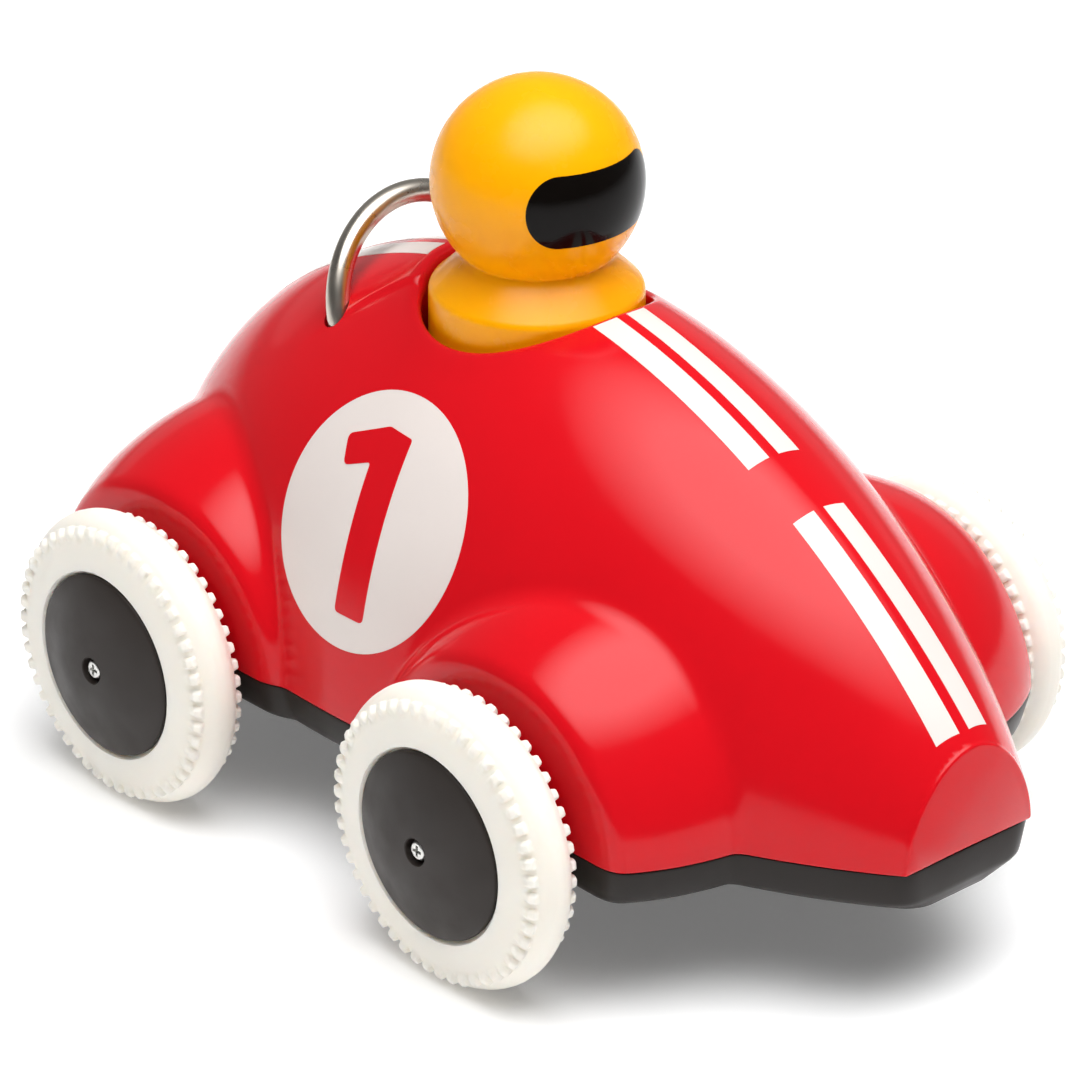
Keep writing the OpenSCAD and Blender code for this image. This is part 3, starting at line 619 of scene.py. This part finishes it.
def flat_mesh(outline, step):
    """An outline filled with faces no larger than step: points, faces and edge loops."""
    bm = bmesh.new()
    bm.faces.new([bm.verts.new((u, v, 0)) for u, v in outline])
    bmesh.ops.triangulate(bm, faces=bm.faces[:])
    spots = np.asarray(outline, float)
    for axis in (0, 1):
        line = Vector((1, 0, 0)) if axis == 0 else Vector((0, 1, 0))
        for at in np.arange(spots[:, axis].min() + step * 0.63, spots[:, axis].max(), step):
            bmesh.ops.bisect_plane(bm, geom=bm.verts[:] + bm.edges[:] + bm.faces[:],
                                   plane_co=line * at, plane_no=line)
    bmesh.ops.remove_doubles(bm, verts=bm.verts[:], dist=step * 0.002)
    bm.verts.index_update()
    flat = np.array([v.co[:2] for v in bm.verts])
    faces = [[v.index for v in f.verts] for f in bm.faces]
    border = []
    for edge in bm.edges:
        if edge.is_boundary:
            loop = edge.link_loops[0]
            border.append((loop.vert.index, loop.link_loop_next.vert.index))
    bm.free()
    return flat, faces, border


def inked(name, outline, step, place, material):
    """A thin closed print; place gives surface points and normals for flat points."""
    flat, faces, border = flat_mesh(outline, step)
    points, normals = place(flat)
    count = len(points)
    solid = np.vstack([points + normals * INK, points - normals * INK])
    both = faces + [[i + count for i in reversed(f)] for f in faces]
    both += [[a, a + count, b + count, b] for a, b in border]
    return make(name, solid, both, material, sharp=60)


def on_skin(start, along):
    """Drops points onto the skin along a direction from outside; both in x, y and h."""
    t = halve(lambda t: skin(*(start + along * t[:, None]).T) > 0,
              np.zeros(len(start)), np.full(len(start), 40.0))
    found = start + along * t[:, None]
    return found + (0, 0, PARTING_Z), normal(found)


def over(flat):
    """Places flat points of x and y on the top of the shell."""
    h = top(flat[:, 0], flat[:, 1])
    found = np.column_stack([flat, h])
    return found + (0, 0, PARTING_Z), normal(found)


def rounded(points, radii):
    """An outline with its corners rounded, each by its own radius."""
    out = []
    for i, r in enumerate(radii):
        around = (points[i - 1], points[i], points[(i + 1) % len(points)])
        before, p, after = (np.asarray(v, float) for v in around)
        a, b = before - p, after - p
        a, b = a / np.linalg.norm(a), b / np.linalg.norm(b)
        half = math.acos(max(-1, min(1, float(a @ b)))) / 2
        back = min(r / math.tan(half), 0.45 * np.linalg.norm(before - p),
                   0.45 * np.linalg.norm(after - p))
        for t in np.linspace(0, 1, 7):
            out.append(tuple((1 - t) ** 2 * (p + a * back) + 2 * t * (1 - t) * p
                             + t * t * (p + b * back)))
    return out


STRIPE_Y = (0.85, 4.45)
STRIPE_GAP = (43.4, 51.5)                 # x where the hood's stripes stop and start again
STRIPE_NOSE = (77.95, 77.5)               # x of their ends, at the inner and the outer edge
STRIPE_TAIL = -58
LIP_OVERLAP = 0.2                         # how far the stripes run onto the well's lip


def build_stripes():
    made = []
    lo, hi = STRIPE_Y
    for s in (-1, 1):
        lip = [(WELL_X + math.sqrt((LIP_R - LIP_OVERLAP) ** 2 - y * y), s * y)
               for y in np.linspace(hi, lo, 9)]
        outline = [(STRIPE_GAP[0], s * lo), (STRIPE_GAP[0], s * hi)] + lip
        made.append((f"stripe_upper_{side_name(s)}", outline))
        outline = [(STRIPE_NOSE[0], s * lo), (STRIPE_NOSE[1], s * hi),
                   (STRIPE_GAP[1], s * hi), (STRIPE_GAP[1], s * lo)]
        made.append((f"stripe_lower_{side_name(s)}", outline))
        lip = [(WELL_X - math.sqrt((LIP_R + LIP_GROWTH - LIP_OVERLAP) ** 2 - y * y), s * y)
               for y in np.linspace(lo, hi, 9)]
        outline = [(STRIPE_TAIL, s * hi), (STRIPE_TAIL, s * lo)] + lip
        made.append((f"stripe_deck_{side_name(s)}", outline))
    for name, outline in made:
        settle(inked(name, outline, 0.9, over, mat_print), "chassis", "print_white")


ROUNDEL = (30.2, 26.2)                    # y and h of the middle
ROUNDEL_R = (16.3, 17.3)                  # along the car and up
NUMERAL = [(-1.5, 35.9), (3.9, 35.9), (2.3, 58.5), (-2.1, 58.8), (-8.7, 56.0), (-7.35, 52.6),
           (-2.9, 54.3)]                  # x and z, seen from the car's right
NUMERAL_R = (0.8, 0.8, 0.5, 1.6, 0.9, 0.8, 0.4)   # radius of each corner


def build_roundels():
    for s in (-1, 1):
        centre = np.array([[0, s * ROUNDEL[0], ROUNDEL[1]]])
        n = normal(centre)[0]
        up = np.array([0, 0, 1.0]) - n * n[2]
        up /= np.linalg.norm(up)
        along = np.array([1.0, 0, 0])

        def disc(flat):
            start = centre + flat[:, :1] * along + flat[:, 1:] * up + n * 12
            return on_skin(start, np.broadcast_to(-n, start.shape))

        ring = [(u * ROUNDEL_R[0], v * ROUNDEL_R[1]) for u, v in arc(0, 0, 1, 0, 360, 120)[:-1]]
        settle(inked(f"roundel_{side_name(s)}", ring, 1.0, disc, mat_print),
               "chassis", "print_white")

        def beside(flat):
            start = np.column_stack([flat[:, 0] * -s, np.full(len(flat), s * 45.0),
                                     flat[:, 1] - PARTING_Z])
            along_y = np.broadcast_to((0, -float(s), 0), start.shape)
            points, normals = on_skin(start, along_y)
            return points + normals * INK, normals

        numeral = inked(f"numeral_{side_name(s)}", rounded(NUMERAL, NUMERAL_R), 0.8, beside,
                        mat_print_red)
        settle(numeral, "chassis", "print_red")


# ---- Driver ------------------------------------------------------------------------------
SKIRT_R, NECK_R = 14.2, 9.8
NECK_Z = HEAD_Z - math.sqrt(HEAD_R ** 2 - NECK_R ** 2)
SKIRT_Z = low("driver_figure").z
SHOULDER_R, SHOULDER_Z = 1.7, 71.4        # rounding between the skirt and the collar's cone
CONE = ((12.0, 74.2), (10.7, 75.45), (10.0, 76.1))   # two points on the cone, and its bend
SOCKET_R, SOCKET_DEPTH = 4, 13            # hole for the stem
RECESS_R, RECESS_DEPTH = 9, 2             # recess over the spring


def build_driver():
    lowest = math.degrees(math.asin((NECK_Z - HEAD_Z) / HEAD_R))
    profile = [(0, SKIRT_Z + SOCKET_DEPTH), (SOCKET_R, SKIRT_Z + SOCKET_DEPTH),
               (SOCKET_R, SKIRT_Z + RECESS_DEPTH), (RECESS_R, SKIRT_Z + RECESS_DEPTH),
               (RECESS_R, SKIRT_Z), (SKIRT_R - 0.6, SKIRT_Z), (SKIRT_R, SKIRT_Z + 0.6),
               (SKIRT_R, SKIRT_Z + 4)]
    profile += arc(SKIRT_R - SHOULDER_R, SHOULDER_Z, SHOULDER_R, 0, 46, 8) + [CONE[0]]
    start, bend, end = np.array(CONE[1]), np.array(CONE[2]), np.array((NECK_R, NECK_Z))
    for t in np.linspace(0, 1, 7):
        profile.append(tuple((1 - t) ** 2 * start + 2 * t * (1 - t) * bend + t * t * end))
    profile += arc(0, HEAD_Z, HEAD_R, lowest, 90, 72)[1:-1] + [(0, HEAD_Z + HEAD_R)]
    points, faces = lathe(profile, 144)
    return make("driver", points + (WELL_X, 0, 0), faces, mat_yellow)


VISOR_AZ, VISOR_EL = 30.2, 4              # degrees: middle of each round end, and height
VISOR_HALF, VISOR_TALL = 18.5, 20.3       # degrees: half width of an end, and half height


def build_visor():
    def on_head(flat):
        az, el = np.radians(flat).T
        n = np.stack([np.cos(el) * np.cos(az), np.cos(el) * np.sin(az), np.sin(el)], -1)
        return n * HEAD_R + (WELL_X, 0, HEAD_Z), n

    band = arc(VISOR_AZ, VISOR_EL, VISOR_HALF, -90, 90, 24)
    band += arc(-VISOR_AZ, VISOR_EL, VISOR_HALF, 90, 270, 24)
    band = [(u, VISOR_EL + (v - VISOR_EL) * VISOR_TALL / VISOR_HALF) for u, v in band]
    return inked("visor", band, 3.0, on_head, mat_visor)


def build_spring():
    """The return spring, with one closed turn at each end."""
    coil_r, wire_r, turns = 5.9, 0.5, 8
    closed = 2.2 * wire_r                 # rise of the closed turn at each end
    base = low("return_spring").z + wire_r
    height = high("return_spring").z - wire_r - base
    path = []
    for t in np.linspace(0, turns, turns * 36 + 1):
        open_part = min(max((t - 1) / (turns - 2), 0), 1)
        end_turns = min(t, 1) + max(0, t - turns + 1)
        lift = base + (height - 2 * closed) * open_part + closed * end_turns
        a = t * 2 * math.pi
        path.append((WELL_X + coil_r * math.cos(a), coil_r * math.sin(a), lift))
    return make("spring", *tube(path, wire_r, 12), mat_spring)


# ---- Wheels ------------------------------------------------------------------------------
KNOBS = 50
PAD_AT, PAD_HALF, PAD_H = 46, 6.3, 0.7    # degrees round the section, and height
PAD_SHARE = 0.28                          # half a block's length, as a share of the pitch
TYRE_HALF, BEAD = 4.4, 3.5                # half widths of the tyre and of its seat on the hub
CROWN_LINE, CROWN_LINE_AT = 0.09, 5       # fine lines beside the crown: depth and degrees
WALL_LINE, WALL_LINE_R = 0.16, 14.9       # fine line round the side wall
RIM_R, HUB_R, HUB_OUT, HUB_IN, DOME = 12.2, 12.7, 4.5, 4.0, 2.1
HUB_EDGE = 0.32                           # rounding of the hub's outer edge
RECESS_HOLE_R, RECESS_HOLE_DEPTH = 1.8, 1.6


def on_wheel(points, x, s):
    """Moves points about a wheel's own axis, +Z outboard, onto an axle end."""
    px, py, pz = np.asarray(points, float).T
    return np.column_stack([x + px, s * (WHEEL_Y + pz), AXLE_Z - s * py])


def build_tyre(name, x, s):
    """A round tyre with a ring of blocks on each shoulder and a smooth crown between them."""
    centre_r = TYRE_R - (TYRE_R - RIM_R) * 0.86
    side = [*np.arange(5, PAD_AT - 9, 5), *np.arange(PAD_AT - 9, PAD_AT + 9, 1.5),
            *np.arange(PAD_AT + 9, 92, 4)]
    angles = np.array([-a for a in reversed(side)] + [0] + side)
    rad = np.radians(angles)
    r = centre_r + (TYRE_R - centre_r) * np.cos(rad)
    r -= CROWN_LINE * np.exp(-((np.abs(angles) - CROWN_LINE_AT) / 2) ** 2)
    r -= WALL_LINE * np.exp(-((r - WALL_LINE_R) / 0.35) ** 2)
    section = np.column_stack([r, TYRE_HALF * np.sin(rad)])
    section = np.vstack([[(RIM_R, -BEAD), (HUB_R + 0.1, -BEAD)], section,
                         [(HUB_R + 0.1, BEAD), (RIM_R, BEAD)]])
    angles = np.concatenate([[-180, -180], angles, [180, 180]])
    cols = KNOBS * 12
    turn = np.arange(cols) * 2 * math.pi / cols
    tangent = np.gradient(section, axis=0)
    n = np.stack([tangent[:, 1], -tangent[:, 0]], -1)
    n /= np.linalg.norm(n, axis=1)[:, None]
    # a block ends steeply on the crown's side and fades towards the hub
    outward = (np.abs(angles) - PAD_AT) / PAD_HALF
    across = np.where(outward < 0, (1.25 + outward) / 0.5, (2.0 - outward) / 1.6)
    along = np.abs((turn * KNOBS / (2 * math.pi) + 0.5) % 1 - 0.5) / PAD_SHARE
    pad = smoothstep(across)[:, None] * smoothstep((1.25 - along) / 0.5)
    r = section[:, 0, None] + n[:, 0, None] * pad * PAD_H
    z = section[:, 1, None] + n[:, 1, None] * pad * PAD_H
    points = np.stack([r * np.cos(turn), r * np.sin(turn), z], -1).reshape(-1, 3)
    faces = grid_faces(len(section), cols, close=True)
    return make(name, on_wheel(points, x, s), faces, mat_tyre, sharp=60)


def build_hub(name, x, s):
    """A domed disc with a lip over the tyre's bead and a recess for its screw."""
    profile = [(0, -HUB_IN), (RIM_R - 0.6, -HUB_IN), (RIM_R - 0.1, -HUB_IN + 0.5),
               (RIM_R - 0.05, HUB_OUT - 0.95), (HUB_R - 0.1, HUB_OUT - 0.9),
               (HUB_R, HUB_OUT - 0.75), (HUB_R, HUB_OUT - 0.35),
               (HUB_R - 0.1, HUB_OUT - 0.12), (HUB_R - HUB_EDGE, HUB_OUT)]
    brink = RECESS_HOLE_R + 0.15
    for u in np.linspace(1, 0, 26)[1:]:
        radius = (HUB_R - HUB_EDGE) * u
        if radius > brink:
            profile.append((radius, HUB_OUT + DOME * (1 - u ** 2.2)))
    crown = HUB_OUT + DOME
    profile += [(brink, crown), (RECESS_HOLE_R + 0.02, crown - 0.1),
                (RECESS_HOLE_R, crown - 0.3), (RECESS_HOLE_R, crown - RECESS_HOLE_DEPTH),
                (0, crown - RECESS_HOLE_DEPTH)]
    points, faces = lathe(profile, 128)
    return make(name, on_wheel(points, x, s), faces, mat_hub)


HUB_SCREW = (1.5, 1.2, 0.95, 6)           # radius and height of the head, then of the shank
SHELL_SCREW = (2, 1.5, 0.95, 12)


def screw_points(head_r, head_h, shank_r, shank_h):
    """A pan-head screw about +Z: its head's underside at 0, its shank below."""
    profile = [(0, -shank_h), (shank_r * 0.4, -shank_h), (shank_r, -shank_h + 0.9), (shank_r, 0),
               (head_r, 0)]
    profile += [(head_r - 0.35 * (1 - math.cos(a)) * head_r, head_h * math.sin(a))
                for a in np.linspace(0.2, math.pi / 2, 8)]
    profile += [(0, head_h)]
    return lathe(profile, 48)


def cross_points(arm, width, z_low, z_high):
    """A plus-shaped prism that tapers downwards."""
    ring = []
    for k in range(4):
        turn = Matrix.Rotation(k * math.pi / 2, 2)
        ring += [turn @ Vector(p) for p in ((width, width), (arm, width), (arm, -width))]
    ring = sorted(ring, key=lambda p: math.atan2(p[1], p[0]))
    flat = np.array([list(p) for p in ring])
    points = np.vstack([np.column_stack([flat * 0.45, np.full(len(flat), z_low)]),
                        np.column_stack([flat, np.full(len(flat), z_high)])])
    n = len(flat)
    faces = [list(range(n)), list(range(2 * n - 1, n - 1, -1))]
    faces += [[i, (i + 1) % n, n + (i + 1) % n, n + i] for i in range(n)]
    return points, faces


def build_screws(name, spots, size, place):
    """One piece of several screws; place moves a screw's own points to a spot."""
    head_r, head_h, shank_r, shank_h = size
    bm = bmesh.new()
    for spot in spots:
        points, faces = screw_points(head_r, head_h, shank_r, shank_h)
        screw = make("screw", place(points, spot), faces, mat_zinc)
        points, faces = cross_points(head_r * 0.6, 0.24, head_h - 0.75, head_h + 0.2)
        combine(screw, [make("cross", place(points, spot), faces, None)], "DIFFERENCE", 30)
        bm.from_mesh(screw.data)
        bpy.data.meshes.remove(screw.data)
    mesh = bpy.data.meshes.new(name)
    bm.to_mesh(mesh)
    bm.free()
    obj = bpy.data.objects.new(name, mesh)
    scene.collection.objects.link(obj)
    mesh.materials.append(mat_zinc)
    finish_shading(mesh, 30)
    return obj


def build_wheels():
    seat = HUB_OUT + DOME - RECESS_HOLE_DEPTH
    for x, end in zip(AXLE_X, ("front", "rear")):
        body = f"{end}_wheels"
        for s in (-1, 1):
            name = f"{end}_{side_name(s)}"
            settle(build_tyre(f"{name}_tread", x, s), body, "tyre_white", f"{name}_tyre")
            settle(build_hub(f"{name}_disc", x, s), body, "hub_black", f"{name}_hub")
        screws = build_screws(
            f"{end}_cap_screws", (-1, 1), HUB_SCREW,
            lambda p, s, x=x: on_wheel(np.asarray(p) + (0, 0, seat), x, s))
        settle(screws, body, "screw_steel", f"{end}_hub_screws")


# ---- Putting the car together ------------------------------------------------------------
settle(build_shell(), "chassis", "shell_red", "body_shell")
settle(build_base(), "chassis", "chassis_black", "chassis_base")
settle(build_bar(), "chassis", "bar_steel", "roll_bar")
build_stripes()
build_roundels()
settle(build_driver(), "driver", "driver_yellow", "driver_figure")
settle(build_visor(), "driver", "visor_black")
spring = settle(build_spring(), "chassis", "spring_steel", "return_spring")
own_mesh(spring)
build_wheels()
screws = build_screws(
    "underside_screws", SHELL_SCREWS, SHELL_SCREW,
    lambda p, at: np.asarray(p) * (1, -1, -1) + (*at, BELLY_Z + COUNTERBORE_H))
settle(screws, "chassis", "screw_steel", "chassis_screws")

# ---- Floor, light and camera -------------------------------------------------------------
# the camera's place is in wheelbases, because the wheels are what fixed it
AZIMUTH, ELEVATION, ROLL = math.radians(47.438), math.radians(26.696), math.radians(0.358)
WHEELBASE = (AXLE_X[0] - AXLE_X[1]) * MM
DISTANCE = 11.958 * WHEELBASE
TARGET = Vector((MID_X * MM - 0.0016 * WHEELBASE, 0, 0.5388 * WHEELBASE))
back = Vector((math.sin(AZIMUTH) * math.cos(ELEVATION), -math.cos(AZIMUTH) * math.cos(ELEVATION),
               math.sin(ELEVATION)))
right = Vector((math.cos(AZIMUTH), math.sin(AZIMUTH), 0))
away = Vector((-math.sin(AZIMUTH), math.cos(AZIMUTH), 0))

camera = bpy.data.objects.new("camera", bpy.data.cameras.new("camera"))
scene.collection.objects.link(camera)
camera.data.sensor_width = 36
camera.data.lens = 194.6
camera.data.clip_start, camera.data.clip_end = 0.05, 20
up = back.cross(right)
image_right = math.cos(ROLL) * right + math.sin(ROLL) * up
image_up = back.cross(image_right)
turned = Matrix((image_right, image_up, back)).transposed().to_4x4()
camera.matrix_world = Matrix.Translation(TARGET + back * DISTANCE) @ turned
scene.camera = camera


def softbox(name, place, aim, size, power):
    """A soft light; place is (right, away, up) from the car, as the camera sees it."""
    light = bpy.data.lights.new(name, "AREA")
    light.shape = "ELLIPSE"
    light.size, light.size_y = size
    light.energy = power
    obj = bpy.data.objects.new(name, light)
    scene.collection.objects.link(obj)
    spot = TARGET + right * place[0] + away * place[1] + Vector((0, 0, place[2]))
    obj.location = spot
    target = TARGET + right * aim[0] + away * aim[1] + Vector((0, 0, aim[2]))
    obj.rotation_euler = (target - spot).to_track_quat("-Z", "Y").to_euler()


# one large overhead box whose edges fade, made of boxes a little below each other
for layer, share in enumerate(np.linspace(1.35, 0.65, 6)):
    softbox(f"overhead_{layer}", (0.1, -0.17, 0.87 - 0.003 * layer), (0, 0, 0),
            (1.2 * share, 0.82 * share), 2.4 * share ** 2)
softbox("wall", (0, 1.6, 0.3), (0, 0, 0.1), (3.0, 0.5), 0.6)

# the studio is brighter beyond the car than behind the camera
world = bpy.data.worlds.new("studio")
scene.world = world
world.use_nodes = True
tree = world.node_tree
coords = tree.nodes.new("ShaderNodeTexCoord")
along_view = tree.nodes.new("ShaderNodeVectorMath")
along_view.operation = "DOT_PRODUCT"
along_view.inputs[1].default_value = -away
tree.links.new(coords.outputs["Generated"], along_view.inputs[0])
level = tree.nodes.new("ShaderNodeMapRange")
level.inputs["From Min"].default_value = -0.7
level.inputs["From Max"].default_value = 0.5
level.inputs["To Min"].default_value = 0.22
level.inputs["To Max"].default_value = 0.06
tree.links.new(along_view.outputs["Value"], level.inputs["Value"])
tree.links.new(level.outputs["Result"], tree.nodes["Background"].inputs["Strength"])
tree.nodes["Background"].inputs["Color"].default_value = (1, 1, 1, 1)


def build_floor():
    """A pale floor that glows a little, which lightens the shadows."""
    size, cells = 3.0, 24
    spots = np.linspace(-size, size, cells + 1)
    points = [(x / MM - MID_X, y / MM, 0) for y in spots for x in spots]
    floor_mat, tree, bsdf = shader("pale_floor", 0.6)
    tint = ramp(tree, noise(tree, 6, 3), [(0.3, (0.93, 0.93, 0.935)), (0.7, (0.96, 0.96, 0.96))])
    tree.links.new(tint, bsdf.inputs["Base Color"])
    bsdf.inputs["Specular IOR Level"].default_value = 0.2
    bsdf.inputs["Emission Color"].default_value = (1, 1, 1, 1)
    bsdf.inputs["Emission Strength"].default_value = 0.14
    obj = make("floor", points, grid_faces(cells + 1, cells + 1, wrap=False), floor_mat)


build_floor()
scene.view_settings.view_transform = "Standard"
scene.view_settings.look = "None"
